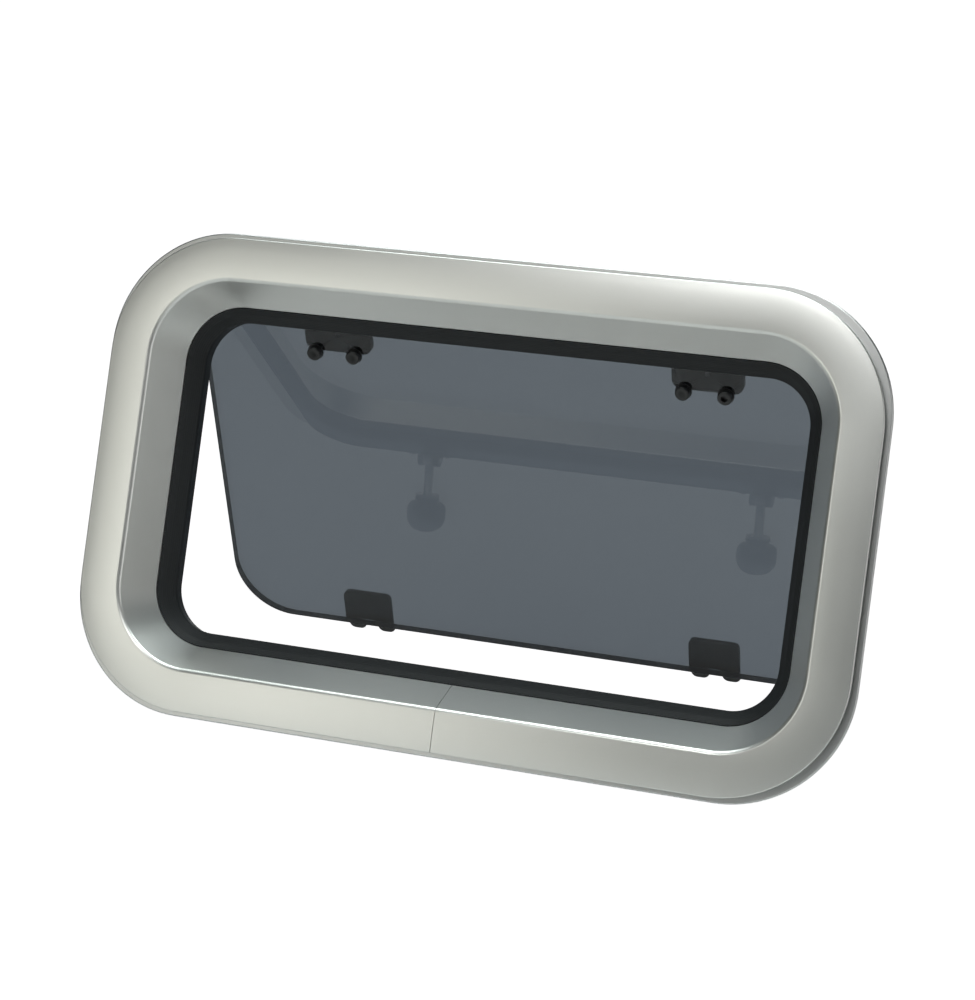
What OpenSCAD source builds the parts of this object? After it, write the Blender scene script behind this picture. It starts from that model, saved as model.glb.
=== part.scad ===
// Opening porthole with an inward-opening acrylic pane, top hinges and two
// swing-bolt closures. Millimetres. +X right as seen from outside, +Y into the
// cabin, +Z up. The origin is the centre of the hull cut-out, in the plane
// where the flange seats on the outer skin.

/* [Frame] */
// Overall width of the outer flange
frame_w = 367; // [330:1:420]
// Overall height of the outer flange
frame_h = 222; // [200:1:260]
// Outer corner radius of the flange
corner_r = 58; // [50:1:62]
// Thickness of the outer flange
flange_t = 2.5; // [2:0.1:3]
// Width of the butt seam in the bent extrusion
seam_w = 0.25; // [0.15:0.05:0.4]

/* [Clamp ring] */
// How far the cabin-side ring shows beyond the flange on each side
ring_over = 2.5; // [1:0.1:4]
// Outer corner radius of the ring
ring_r = 57; // [50:1:60]
// Gap left between flange and ring as shown
ring_gap = 2.7; // [2.4:0.1:6]

/* [Pane] */
// Width of the acrylic pane
pane_w = 323; // [310:1:330]
// Height of the acrylic pane
pane_h = 175.8; // [170:0.2:178]
// Thickness of the acrylic pane
pane_t = 8; // [6:0.5:9]
// Corner radius of the pane
pane_r = 30; // [24:1:36]
// How far the pane stands open as drawn, in degrees
open_angle = 34.25; // [0:0.25:60]

/* [Hinges] */
// Distance of each hinge from the middle of the frame
hinge_x = 91.5; // [60:0.5:110]
// Height of the hinge axis above the centre
hinge_z = 92; // [91:0.1:93]
// Width of the leaf plate
leaf_w = 34; // [30:1:40]
// Distance between the two pane screws of a hinge
leaf_screw_gap = 20; // [16:1:24]

/* [Closures] */
// Distance of each closure from the middle of the frame
catch_x = 91.5; // [60:0.5:110]
// Width of the fork plate
catch_w = 25.5; // [22:0.5:30]
// Width of the slot between the two prongs
slot_w = 6.4; // [5.8:0.1:7]
// How far the bolts hang below level as drawn, in degrees
drop_angle = 32; // [32:1:60]
// Largest radius of the round knob
knob_r = 10.5; // [9.5:0.5:10.5]

/* [Hidden] */
$fn = 64;
tilt_axis_y = 48.9;
pane_y = 34.9;
rear_y = 26;
pivot_y = 30.6;
pivot_z = -91.3;
front_y = -flange_t;
leaf_t = 3.5;
leaf_y = pane_y + pane_t;
screw_z = 70.3;
prong_tip = -95;
fork_top = -72;
washer_s = 19.2;
washer_t = 1.3;
knob_s = washer_s + washer_t + 0.1;
ring_w = frame_w + 2 * ring_over;
ring_h = frame_h + 2 * ring_over;

// Section of the frame extrusion: distance in from the outer edge, then depth.
frame_profile = [
  [0, front_y + 0.4], [0.4, front_y], [18.8, front_y], [19.9, front_y + 0.5],
  [30.2, 16.7], [30.2, 19.1], [27.7, 19.1], [27.7, 23.9], [30.2, 23.9],
  [30.2, rear_y], [17.5, rear_y], [17.5, 0], [0, 0]
];
hollow_profile = [[19.7, 3], [25.3, 13.4], [25.3, 23.8], [19.7, 23.8]];
key_profile = [[19.95, 4.1], [25.05, 13.6], [25.05, 23.5], [19.95, 23.5]];
seal_profile = [
  [30.35, 16.9], [36.8, 24.5], [36.8, 26.2], [35.2, 34.5], [33.8, 34.5],
  [32.4, 28.4], [27.8, 28.4], [27.8, 26.1], [30.35, 26.1], [30.35, 23.7],
  [27.9, 23.7], [27.9, 19.3], [30.35, 19.3]
];
ring_profile = [
  [0.6, ring_gap], [0, ring_gap + 0.6], [0, ring_gap + 2.6], [0.6, ring_gap + 3.2],
  [16.5, ring_gap + 3.2], [16.5, 14], [19.4, 14], [19.4, ring_gap]
];
clamp_spots = [
  [-120, 102], [-40, 102], [40, 102], [120, 102],
  [-120, -102], [-40, -102], [40, -102], [120, -102],
  [-174.5, 0], [174.5, 0]
];
joint_spots = [-28, -12, 12, 28];

// Turns a shape drawn flat, with depth along Z, so that depth runs into the cabin.
module upright() {
  rotate([-90, 0, 0]) children();
}

// One straight leg of a framing section, "away" from the middle.
module leg(profile, length, away) {
  translate([-length / 2, 0, 0])
    rotate([90, 0, 90])
      linear_extrude(height = length)
        polygon([for (p = profile) [away - p[0], p[1]]]);
}

// One right-angle bend of a framing section.
module bend(profile, r) {
  rotate_extrude(angle = 90, $fn = 96)
    polygon([for (p = profile) [r - p[0], p[1]]]);
}

// A section carried round a rounded rectangle.
module around(profile, w, h, r) {
  for (turn = [0, 180]) {
    rotate([0, 0, turn]) leg(profile, w - 2 * r, h / 2);
    rotate([0, 0, turn + 90]) leg(profile, h - 2 * r, w / 2);
    rotate([0, 0, turn])
      translate([w / 2 - r, h / 2 - r, 0]) bend(profile, r);
    rotate([0, 0, turn + 90])
      translate([h / 2 - r, w / 2 - r, 0]) bend(profile, r);
  }
}

// A flat plate with rounded corners, from y = y0 to y0 + t.
module plate(w, h, r, y0, t) {
  upright()
    translate([0, 0, y0])
      linear_extrude(height = t)
        rounded(w, h, r);
}

// A rounded rectangle from two bars and four discs.
module rounded(w, h, r) {
  square([w - 2 * r, h], center = true);
  square([w, h - 2 * r], center = true);
  for (x = [-1, 1], z = [-1, 1])
    translate([x * (w / 2 - r), z * (h / 2 - r)]) circle(r = r);
}

// A cylinder along Y from y0 to y1.
module along_y(r, y0, y1) {
  translate([0, y0, 0])
    rotate([-90, 0, 0]) cylinder(h = y1 - y0, r = r);
}

// A cylinder along X, centred.
module along_x(r, length) {
  rotate([0, 90, 0]) cylinder(h = length, r = r, center = true);
}

// Swings what was drawn closed to the open angle about the hinge axis.
module opened() {
  translate([0, tilt_axis_y, hinge_z])
    rotate([open_angle, 0, 0])
      translate([0, -tilt_axis_y, -hinge_z]) children();
}

// Places what was drawn along +Y from a pivot at the origin as a dropped bolt.
module dropped(side) {
  translate([side * catch_x, pivot_y, pivot_z])
    rotate([-drop_angle, 0, 0]) children();
}

module front_frame() {
  color([0.74, 0.75, 0.72])
    difference() {
      union() {
        upright() around(frame_profile, frame_w, frame_h, corner_r);
        for (s = clamp_spots)
          translate([s[0], 0, s[1]]) along_y(4, -0.5, 2.2);
      }
      upright() around(hollow_profile, frame_w, frame_h, corner_r);
      translate([-seam_w / 2, front_y - 1, -frame_h / 2 - 1])
        cube([seam_w, rear_y + 5, 34]);
      for (s = clamp_spots)
        translate([s[0], 0, s[1]]) along_y(2.05, -1.3, 3);
      for (x = joint_spots)
        translate([x, 12, -frame_h / 2 + 17])
          cylinder(h = 3, r = 2.05);
      for (x = [-18.3, 18.3], side = [-1, 1])
        translate([side * hinge_x + x, 0, 88.9]) along_y(2.05, 22, rear_y + 1);
      for (x = [-10, 10], side = [-1, 1])
        translate([side * catch_x + x, 0, -88.9]) along_y(1.55, 22, rear_y + 1);
    }
}

module frame_joint_key() {
  color([0.6, 0.6, 0.6])
    difference() {
      upright()
        leg(key_profile, 80, frame_h / 2);
      for (x = joint_spots)
        translate([x, 12, -frame_h / 2 + 16])
          cylinder(h = 7, r = 2.05);
    }
}

module joint_screws() {
  color([0.7, 0.7, 0.7])
    for (x = joint_spots)
      translate([x, 12, -frame_h / 2 + 17.6])
        cylinder(h = 5, r = 2);
}

module window_seal() {
  color([0.1, 0.1, 0.11])
    upright() around(seal_profile, frame_w, frame_h, corner_r);
}

module clamp_ring() {
  color([0.66, 0.66, 0.65])
    difference() {
      upright() around(ring_profile, ring_w, ring_h, ring_r);
      for (s = clamp_spots)
        translate([s[0], 0, s[1]]) along_y(2.2, 2, 7);
    }
}

module clamp_screws() {
  color([0.75, 0.75, 0.75])
    for (s = clamp_spots)
      translate([s[0], 0, s[1]]) {
        difference() {
          union() {
            along_y(2, -1.2, 6.2);
            along_y(3.8, ring_gap + 3.25, ring_gap + 5.4);
          }
          translate([0, ring_gap + 4.1, 0])
            rotate([-90, 0, 0]) cylinder(h = 3, r = 1.3, $fn = 6);
        }
      }
}

module hinge_bracket(side) {
  color([0.13, 0.13, 0.14])
    translate([side * hinge_x, 0, 0])
      difference() {
        union() {
          translate([0, 0, 88.8]) plate(44, 9.2, 2, rear_y, 2.5);
          for (x = [-14.5, 10.5])
            translate([x, 0, 0]) {
              rotate([90, 0, 90])
                linear_extrude(height = 4)
                  polygon([[27, 84.6], [29.5, 84.6], [33.4, 88.5],
                    [tilt_axis_y, 88.5], [tilt_axis_y, 96], [36, 96],
                    [29, 93.2], [27, 93.2]]);
              translate([2, tilt_axis_y, hinge_z]) along_x(4.4, 4);
            }
        }
        translate([0, tilt_axis_y, hinge_z]) along_x(2.52, 40);
        for (x = [-18.3, 18.3])
          translate([x, 0, 88.9]) along_y(2.2, 25, 30);
      }
}

module hinge_bracket_left() {
  hinge_bracket(-1);
}

module hinge_bracket_right() {
  hinge_bracket(1);
}

module hinge_pin(side) {
  color([0.72, 0.72, 0.73])
    translate([side * hinge_x, tilt_axis_y, hinge_z]) {
      along_x(2.5, 30);
      translate([side * 15.5, 0, 0]) along_x(3.6, 1.5);
    }
}

module hinge_pin_left() {
  hinge_pin(-1);
}

module hinge_pin_right() {
  hinge_pin(1);
}

// A socket screw along Y with its head at the cabin end.
module cabin_screw(r, y0, seat, head_r, head_t) {
  difference() {
    union() {
      along_y(r, y0, seat + 0.1);
      along_y(head_r, seat, seat + head_t);
    }
    translate([0, seat + head_t * 0.4, 0])
      rotate([-90, 0, 0]) cylinder(h = head_t, r = r * 0.66, $fn = 6);
  }
}

module hinge_bracket_screws() {
  color([0.72, 0.72, 0.73])
    for (side = [-1, 1], x = [-18.3, 18.3])
      translate([side * hinge_x + x, 0, 88.9])
        cabin_screw(2, 22.4, rear_y + 2.55, 3.5, 2.2);
}

module bolt_bracket(side) {
  color([0.13, 0.13, 0.14])
    translate([side * catch_x, 0, 0])
      difference() {
        union() {
          translate([0, 0, -88.8]) plate(28, 9.2, 2, rear_y, 1.6);
          for (x = [-4.4, 4.4])
            translate([x, 0, 0]) {
              translate([-1.5, 27, -95])
                cube([3, pivot_y - 27, 7.5]);
              translate([0, pivot_y, pivot_z]) along_x(3.85, 3);
            }
        }
        translate([-2.9, 25, -94]) cube([5.8, 4, 7.2]);
        translate([0, pivot_y, pivot_z]) along_x(1.52, 20);
        for (x = [-10, 10])
          translate([x, 0, -88.9]) along_y(1.65, 25, 30);
      }
}

module bolt_bracket_left() {
  bolt_bracket(-1);
}

module bolt_bracket_right() {
  bolt_bracket(1);
}

module bolt_pin(side) {
  color([0.72, 0.72, 0.73])
    translate([side * catch_x, pivot_y, pivot_z]) along_x(1.5, 12.4);
}

module bolt_pin_left() {
  bolt_pin(-1);
}

module bolt_pin_right() {
  bolt_pin(1);
}

module bolt_bracket_screws() {
  color([0.72, 0.72, 0.73])
    for (side = [-1, 1], x = [-10, 10])
      translate([side * catch_x + x, 0, -88.9])
        cabin_screw(1.5, 22.4, rear_y + 1.65, 2.7, 1.8);
}

module pane() {
  color([0.36, 0.39, 0.42])
    opened()
      difference() {
        plate(pane_w, pane_h, pane_r, pane_y, pane_t);
        for (side = [-1, 1], x = [-1, 1])
          translate([side * hinge_x + x * leaf_screw_gap / 2, 0, screw_z])
            along_y(2.2, pane_y - 1, leaf_y + 1);
      }
}

module hinge_leaf(side) {
  color([0.13, 0.13, 0.14])
    opened()
      translate([side * hinge_x, 0, 0])
        difference() {
          union() {
            translate([0, 0, 78.2]) plate(leaf_w, 19.4, 4.5, leaf_y, leaf_t);
            translate([-10, leaf_y, 84]) cube([20, 5.5, 8]);
            translate([0, tilt_axis_y, hinge_z]) along_x(4.4, 20);
          }
          translate([0, tilt_axis_y, hinge_z]) along_x(3.52, 30);
          for (x = [-1, 1])
            translate([x * leaf_screw_gap / 2, 0, screw_z])
              along_y(2.05, leaf_y - 1, leaf_y + 3);
          translate([0, 0, 77.4]) along_y(1.2, leaf_y - 1, leaf_y + 6);
        }
}

module hinge_leaf_left() {
  hinge_leaf(-1);
}

module hinge_leaf_right() {
  hinge_leaf(1);
}

module hinge_bush(side) {
  color([0.85, 0.85, 0.82])
    translate([side * hinge_x, tilt_axis_y, hinge_z])
      difference() {
        union() {
          along_x(3.5, 20.8);
          for (x = [-10.2, 10.2])
            translate([x, 0, 0]) along_x(4.2, 0.36);
        }
        along_x(2.54, 24);
      }
}

module hinge_bush_left() {
  hinge_bush(-1);
}

module hinge_bush_right() {
  hinge_bush(1);
}

// The outside face of the pane carries the heads of the hinge screws.
module hinge_screws() {
  color([0.1, 0.1, 0.11])
    opened()
      for (side = [-1, 1], x = [-1, 1])
        translate([side * hinge_x + x * leaf_screw_gap / 2, 0, screw_z])
          difference() {
            union() {
              along_y(2, pane_y - 1, leaf_y + 2.8);
              along_y(3.5, pane_y - 3.6, pane_y - 0.55);
            }
            translate([0, pane_y - 4, 0])
              rotate([-90, 0, 0]) cylinder(h = 2.2, r = 1.7, $fn = 6);
          }
}

module screw_washers() {
  color([0.08, 0.08, 0.08])
    opened()
      for (side = [-1, 1], x = [-1, 1])
        translate([side * hinge_x + x * leaf_screw_gap / 2, 0, screw_z])
          difference() {
            along_y(4, pane_y - 0.5, pane_y - 0.02);
            along_y(2.1, pane_y - 2, pane_y + 1);
          }
}

module catch_plate(side) {
  slot_top = -pane_h / 2;
  prong_w = (catch_w - slot_w) / 2;
  color([0.12, 0.12, 0.13])
    opened()
      translate([side * catch_x, 0, 0])
        upright()
          translate([0, 0, leaf_y + 0.02])
            linear_extrude(height = 3.5) {
              translate([0, -(fork_top + slot_top) / 2])
                square([catch_w, fork_top - slot_top - 6], center = true);
              translate([0, -fork_top + 2])
                square([catch_w - 6, 4], center = true);
              translate([0, -slot_top - 2])
                square([catch_w, 4], center = true);
              for (x = [-1, 1]) {
                translate([x * (catch_w / 2 - 3), -fork_top + 3]) circle(r = 3);
                translate([x * (slot_w + prong_w) / 2, -slot_top]) {
                  translate([0, 2.25])
                    square([prong_w, 6.7], center = true);
                  for (e = [-1, 1])
                    translate([e * (prong_w / 2 - 3), 5.6]) circle(r = 3);
                  translate([0, 6.5])
                    square([prong_w - 6, 4.2], center = true);
                }
              }
            }
}

module catch_left() {
  catch_plate(-1);
}

module catch_right() {
  catch_plate(1);
}

module swing_bolt(side) {
  color([0.75, 0.75, 0.76])
    dropped(side)
      difference() {
        union() {
          along_x(3.8, 5.4);
          along_y(2.5, 2, 31);
        }
        along_x(1.53, 8);
      }
}

module swing_bolt_left() {
  swing_bolt(-1);
}

module swing_bolt_right() {
  swing_bolt(1);
}

module clamp_washer(side) {
  color([0.7, 0.7, 0.7])
    dropped(side)
      difference() {
        along_y(6.3, washer_s, washer_s + washer_t);
        along_y(2.56, washer_s - 1, washer_s + 4);
      }
}

module clamp_washer_left() {
  clamp_washer(-1);
}

module clamp_washer_right() {
  clamp_washer(1);
}

// The knob's outline from the axis outwards: foot, waist and round head.
module knob_outline() {
  intersection() {
    union() {
      translate([0, knob_s]) square([6.5, 1.6]);
      translate([0, knob_s]) square([5.4, 9]);
      translate([0, knob_s + 1.9]) square([knob_r - 8.5, 17]);
      translate([knob_r - 8.5, knob_s + 10.4]) circle(r = 8.5);
    }
    square([20, 80]);
  }
}

module clamp_knob(side) {
  color([0.07, 0.07, 0.08])
    dropped(side)
      difference() {
        rotate([-90, 0, 0])
          rotate_extrude($fn = 96) knob_outline();
        along_y(3.62, knob_s - 1, knob_s + 12);
        along_y(2.7, knob_s - 1, 35);
      }
}

module clamp_knob_left() {
  clamp_knob(-1);
}

module clamp_knob_right() {
  clamp_knob(1);
}

module knob_insert(side) {
  color([0.72, 0.6, 0.32])
    dropped(side)
      difference() {
        along_y(3.6, knob_s + 0.2, knob_s + 11.8);
        along_y(2.56, knob_s - 1, knob_s + 20);
      }
}

module knob_insert_left() {
  knob_insert(-1);
}

module knob_insert_right() {
  knob_insert(1);
}

front_frame();
frame_joint_key();
joint_screws();
window_seal();
clamp_ring();
clamp_screws();
hinge_bracket_left();
hinge_bracket_right();
hinge_pin_left();
hinge_pin_right();
hinge_bracket_screws();
bolt_bracket_left();
bolt_bracket_right();
bolt_pin_left();
bolt_pin_right();
bolt_bracket_screws();
pane();
hinge_leaf_left();
hinge_leaf_right();
hinge_bush_left();
hinge_bush_right();
hinge_screws();
screw_washers();
catch_left();
catch_right();
swing_bolt_left();
swing_bolt_right();
clamp_washer_left();
clamp_washer_right();
clamp_knob_left();
clamp_knob_right();
knob_insert_left();
knob_insert_right();
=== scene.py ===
import math

import bmesh
import bpy
from bpy.props import FloatProperty, FloatVectorProperty, IntProperty, PointerProperty
from mathutils import Matrix, Vector


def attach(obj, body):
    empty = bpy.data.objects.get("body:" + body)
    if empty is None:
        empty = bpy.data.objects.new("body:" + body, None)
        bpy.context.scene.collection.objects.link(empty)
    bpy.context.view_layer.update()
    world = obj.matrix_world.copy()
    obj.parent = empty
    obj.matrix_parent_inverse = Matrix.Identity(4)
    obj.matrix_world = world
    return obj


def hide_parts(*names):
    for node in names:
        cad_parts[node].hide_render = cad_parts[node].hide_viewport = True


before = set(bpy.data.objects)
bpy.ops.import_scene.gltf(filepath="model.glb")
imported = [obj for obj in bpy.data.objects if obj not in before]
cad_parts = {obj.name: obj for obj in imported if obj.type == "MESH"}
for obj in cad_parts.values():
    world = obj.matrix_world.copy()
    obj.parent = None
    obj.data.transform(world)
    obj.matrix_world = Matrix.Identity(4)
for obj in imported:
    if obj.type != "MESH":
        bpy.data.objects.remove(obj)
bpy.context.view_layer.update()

bl_info = {
    "name": "Opening Porthole",
    "version": (1, 0, 0),
    "blender": (4, 5, 0),
    "location": "View3D > Sidebar > Porthole",
    "description": "Builds the finished pieces of an opening porthole on its fixed frame",
    "category": "Add Mesh",
}

MM = 0.001
SEAT = 26 * MM  # cabin face of the frame, which the hinge and bolt brackets sit on
SIDES = (("left", -1), ("right", 1))
CLAMP_SPOTS = [(x, z) for z in (102, -102) for x in (-120, -40, 40, 120)]
CLAMP_SPOTS += [(-174.5, 0), (174.5, 0)]


# ---------------------------------------------------------------- settings


def length(name, text, mm, low=0.0):
    return FloatProperty(
        name=name, description=text, default=mm * MM, min=low, unit="LENGTH", precision=5
    )


def colour(name, text, rgb):
    return FloatVectorProperty(
        name=name, description=text, default=(*rgb, 1.0), size=4,
        subtype="COLOR", min=0.0, max=1.0,
    )


def share(name, text, value):
    return FloatProperty(
        name=name, description=text, default=value, min=0.0, max=1.0, subtype="FACTOR"
    )


class FrameSettings(bpy.types.PropertyGroup):
    width: length("Width", "Overall width of the outer flange", 367)
    height: length("Height", "Overall height of the outer flange", 222)
    corner: length("Corner Radius", "Outer corner radius of the flange", 58)
    seam: length("Seam", "Gap of the butt joint in the bent extrusion", 0.25)
    ridge: length("Ridge Radius", "Rounding where the flange turns into the surround", 2.6)
    metal: colour("Anodised Metal", "Colour of the satin anodised aluminium", (0.72, 0.73, 0.70))
    grain: share("Grain", "Depth of the satin grain", 0.04)


class SealSettings(bpy.types.PropertyGroup):
    rubber: colour("Rubber", "Colour of the window seal", (0.017, 0.019, 0.020))
    ribs: IntProperty(
        name="Ribs", description="Fine lengthwise ribs across the seal", default=9, min=1
    )


class RingSettings(bpy.types.PropertyGroup):
    reach: length("Reach", "How far the ring shows beyond the flange", 2.5)
    corner: length("Corner Radius", "Outer corner radius of the ring", 57)
    gap: length("Gap", "Room left for the hull skin between flange and ring", 2.7)
    metal: colour("Ring Metal", "Colour of the clamp ring", (0.60, 0.61, 0.60))


class PaneSettings(bpy.types.PropertyGroup):
    width: length("Width", "Width of the acrylic pane", 323)
    height: length("Height", "Height of the acrylic pane", 175.8)
    thickness: length("Thickness", "Thickness of the acrylic pane", 8)
    corner: length("Corner Radius", "Corner radius of the pane", 30)
    face: length("Face", "Distance of the closed pane behind the flange seat", 34.9)
    opened: FloatProperty(
        name="Open Angle", description="How far the pane stands open",
        default=math.radians(34.25), subtype="ANGLE",
    )
    tint: colour("Smoke Tint", "Light left after passing through the pane", (0.082, 0.097, 0.113))


class HingeSettings(bpy.types.PropertyGroup):
    offset: length("Offset", "Distance of each hinge from the middle", 91.5)
    axis_y: length("Axis Depth", "Depth of the hinge axis", 48.9)
    axis_z: length("Axis Height", "Height of the hinge axis", 92)
    leaf: length("Leaf Width", "Width of the leaf plate", 34)
    screws: length("Screw Spacing", "Distance between the two pane screws", 20)
    coat: colour("Black Coat", "Colour of the coated hinge and catch metal", (0.013, 0.014, 0.014))


class ClosureSettings(bpy.types.PropertyGroup):
    offset: length("Offset", "Distance of each closure from the middle", 91.5)
    plate: length("Fork Width", "Width of the fork plate", 25.5)
    slot: length("Slot Width", "Width of the slot between the prongs", 6.4)
    drop: FloatProperty(
        name="Drop Angle", description="How far the bolts hang below level",
        default=math.radians(32), subtype="ANGLE",
    )
    knob: length("Knob Radius", "Largest radius of the round knob", 10.5)
    plastic: colour("Knob Plastic", "Colour of the moulded knobs", (0.012, 0.013, 0.014))
    steel: colour("Steel", "Colour of the stainless bolts, pins and screws", (0.60, 0.60, 0.59))


class StageSettings(bpy.types.PropertyGroup):
    floor: length("Floor", "Height of the floor", -330, low=-10.0)
    paper: colour("Paper", "Colour of the pale floor and backdrop", (0.90, 0.90, 0.90))
    lens: FloatProperty(
        name="Lens", description="Focal length on a 36 mm sensor, in millimetres", default=88.44
    )
    azimuth: FloatProperty(
        name="Azimuth", description="Camera angle to the right of straight ahead",
        default=math.radians(18.24), subtype="ANGLE",
    )
    elevation: FloatProperty(
        name="Elevation", description="Camera angle above level",
        default=math.radians(-0.92), subtype="ANGLE",
    )
    roll: FloatProperty(
        name="Roll", description="Turn of the camera about its own line of sight",
        default=math.radians(7.48), subtype="ANGLE",
    )
    place: FloatVectorProperty(
        name="Camera Place", description="Where the camera stands",
        default=(0.35498, -1.04428, -0.01308), subtype="TRANSLATION", unit="LENGTH",
    )


GROUPS = {
    "porthole_frame": FrameSettings,
    "porthole_seal": SealSettings,
    "porthole_ring": RingSettings,
    "porthole_pane": PaneSettings,
    "porthole_hinge": HingeSettings,
    "porthole_closure": ClosureSettings,
    "porthole_stage": StageSettings,
}


# ---------------------------------------------------------------- finishes


class Flow:
    """A shader value that ordinary arithmetic can be written with."""

    def __init__(self, finish, socket):
        self.finish, self.socket = finish, socket

    def maths(self, operation, *values):
        node = self.finish.node("ShaderNodeMath", {"operation": operation}, dict(enumerate(values)))
        return Flow(self.finish, node.outputs[0])

    def __add__(self, other):
        return self.maths("ADD", self, other)

    def __radd__(self, other):
        return self.maths("ADD", other, self)

    def __sub__(self, other):
        return self.maths("SUBTRACT", self, other)

    def __rsub__(self, other):
        return self.maths("SUBTRACT", other, self)

    def __mul__(self, other):
        return self.maths("MULTIPLY", self, other)

    def __rmul__(self, other):
        return self.maths("MULTIPLY", other, self)

    def __pow__(self, other):
        return self.maths("POWER", self, other)

    def clamped(self):
        return self.maths("MINIMUM", self.maths("MAXIMUM", self, 0.0), 1.0)

    def sine(self):
        return self.maths("SINE", self)


class Finish:
    """One material, with the nodes that give it its look."""

    def __init__(self, name=None, tree=None):
        if name:
            self.material = bpy.data.materials.new(name)
            self.material.use_nodes = True
            tree = self.material.node_tree
        self.tree = tree
        self.tree.nodes.clear()

    def node(self, kind, settings=None, values=None):
        made = self.tree.nodes.new(kind)
        for key, value in (settings or {}).items():
            if key == "stops":
                for stop, (place, shade) in zip(made.color_ramp.elements, value):
                    stop.position, stop.color = place, shade
            else:
                setattr(made, key, value)
        for key, value in (values or {}).items():
            if isinstance(value, Flow):
                value = value.socket
            if isinstance(value, bpy.types.NodeSocket):
                self.tree.links.new(value, made.inputs[key])
            else:
                made.inputs[key].default_value = value
        return made

    def place(self):
        """The point on the piece, in metres."""
        return self.node("ShaderNodeTexCoord").outputs["Object"]

    def noise(self, scale, detail=3.0, vector=None, rough=0.5):
        node = self.node(
            "ShaderNodeTexNoise", {"noise_dimensions": "3D"},
            {
                "Vector": vector or self.place(), "Scale": scale, "Detail": detail,
                "Roughness": rough,
            },
        )
        return Flow(self, node.outputs[0])

    def attribute(self, name):
        return Flow(self, self.node("ShaderNodeAttribute", {"attribute_name": name}).outputs["Fac"])

    def shade(self, fac, first, second):
        """A colour between two, by a varying share."""
        node = self.node(
            "ShaderNodeMix", {"data_type": "RGBA"}, {0: fac, 6: tuple(first), 7: tuple(second)}
        )
        return node.outputs[2]

    def bump(self, height, strength, distance, normal=None):
        values = {"Height": height, "Strength": strength, "Distance": distance}
        if normal:
            values["Normal"] = normal
        return self.node("ShaderNodeBump", {}, values).outputs[0]

    def surface(self, **sockets):
        shader = self.node(
            "ShaderNodeBsdfPrincipled", {}, {k.replace("_", " "): v for k, v in sockets.items()}
        )
        out = self.node("ShaderNodeOutputMaterial")
        self.tree.links.new(shader.outputs[0], out.inputs[0])
        return self.material


def darker(rgba, by):
    return (rgba[0] * by, rgba[1] * by, rgba[2] * by, 1.0)


def satin_anodised(name, rgba, roughness, grain, lengthwise=True):
    """Etched and anodised aluminium: an even satin with faint lengthwise die lines."""
    f = Finish(name)
    cloud = f.noise(14.0, 2.0)
    speck = f.noise(2600.0, 2.0)
    if lengthwise:
        across = f.attribute("across")
        lines = f.node(
            "ShaderNodeTexNoise", {"noise_dimensions": "1D"},
            {"W": across, "Scale": 1400.0, "Detail": 3.0},
        ).outputs[0]
        drawn = Flow(f, lines)
    else:
        drawn = f.noise(900.0, 1.0)
    tone = (cloud * 0.6 + drawn * 0.2 + speck * 0.2).clamped()
    bump = f.bump(drawn * 0.5 + speck * 0.5, grain, 0.00004)
    return f.surface(
        Base_Color=f.shade(tone, darker(rgba, 0.955), darker(rgba, 1.045)),
        Metallic=0.9,
        Roughness=(roughness - 0.035 + cloud * 0.045 + drawn * 0.03),
        Normal=bump,
    )


def ribbed_rubber(name, rgba, ribs):
    """Extruded rubber: fine lengthwise ribs with painted shade in their troughs and a painted
    highlight on their crests, a dull skin and a little bloom.
    """
    f = Finish(name)
    cloud = f.noise(45.0, 3.0)
    pores = f.noise(3200.0, 2.0)
    across = f.attribute("across")
    ridge = (across * (ribs * math.tau / 0.0099)).sine() * 0.5 + 0.5
    bump = f.bump(ridge * 0.8 + pores * 0.3, 0.35, 0.00012)
    return f.surface(
        # painted shade and highlight: the rib relief also darkens the troughs and lightens the
        # crests in the colour
        Base_Color=f.shade(
            (cloud * 0.7 + ridge * 0.3).clamped(), darker(rgba, 0.7), darker(rgba, 1.2)
        ),
        Roughness=0.44 + cloud * 0.12 + pores * 0.06,
        Specular_IOR_Level=0.22,
        Normal=bump,
    )


def smoked_acrylic(name, tint):
    """Cast smoked acrylic: dark glass with a polished face."""
    f = Finish(name)
    cloud = f.noise(6.0, 1.0)
    haze = f.noise(380.0, 1.0)
    return f.surface(
        Base_Color=f.shade(cloud, darker(tint, 0.97), darker(tint, 1.03)),
        Roughness=0.012 + haze * 0.01,
        Transmission_Weight=1.0,
        IOR=1.49,
        Specular_IOR_Level=0.12,
    )


def black_coat(name, rgba, roughness=0.42):
    """Powder coat: near black, with a fine orange-peel skin."""
    f = Finish(name)
    peel = f.noise(950.0, 2.0)
    fine = f.noise(4200.0, 1.0)
    cloud = f.noise(70.0, 2.0)
    return f.surface(
        Base_Color=f.shade(cloud, darker(rgba, 0.85), darker(rgba, 1.25)),
        Roughness=roughness - 0.05 + cloud * 0.06 + fine * 0.05,
        Specular_IOR_Level=0.5,
        Normal=f.bump(peel * 0.7 + fine * 0.3, 0.22, 0.00006),
    )


def moulded_plastic(name, rgba):
    """Moulded plastic: a soft spark-eroded texture and a slight sheen."""
    f = Finish(name)
    grain = f.noise(2100.0, 3.0)
    cloud = f.noise(55.0, 2.0)
    return f.surface(
        Base_Color=f.shade(cloud, darker(rgba, 0.85), darker(rgba, 1.2)),
        Roughness=0.33 + grain * 0.12,
        Normal=f.bump(grain, 0.18, 0.00005),
    )


def bright_steel(name, rgba, roughness=0.24):
    """Turned stainless steel with fine tool marks."""
    f = Finish(name)
    marks = f.noise(3000.0, 2.0)
    cloud = f.noise(120.0, 2.0)
    return f.surface(
        Base_Color=f.shade(cloud, darker(rgba, 0.92), darker(rgba, 1.08)),
        Metallic=1.0,
        Roughness=roughness - 0.04 + marks * 0.08,
        Normal=f.bump(marks, 0.1, 0.00003),
    )


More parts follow.
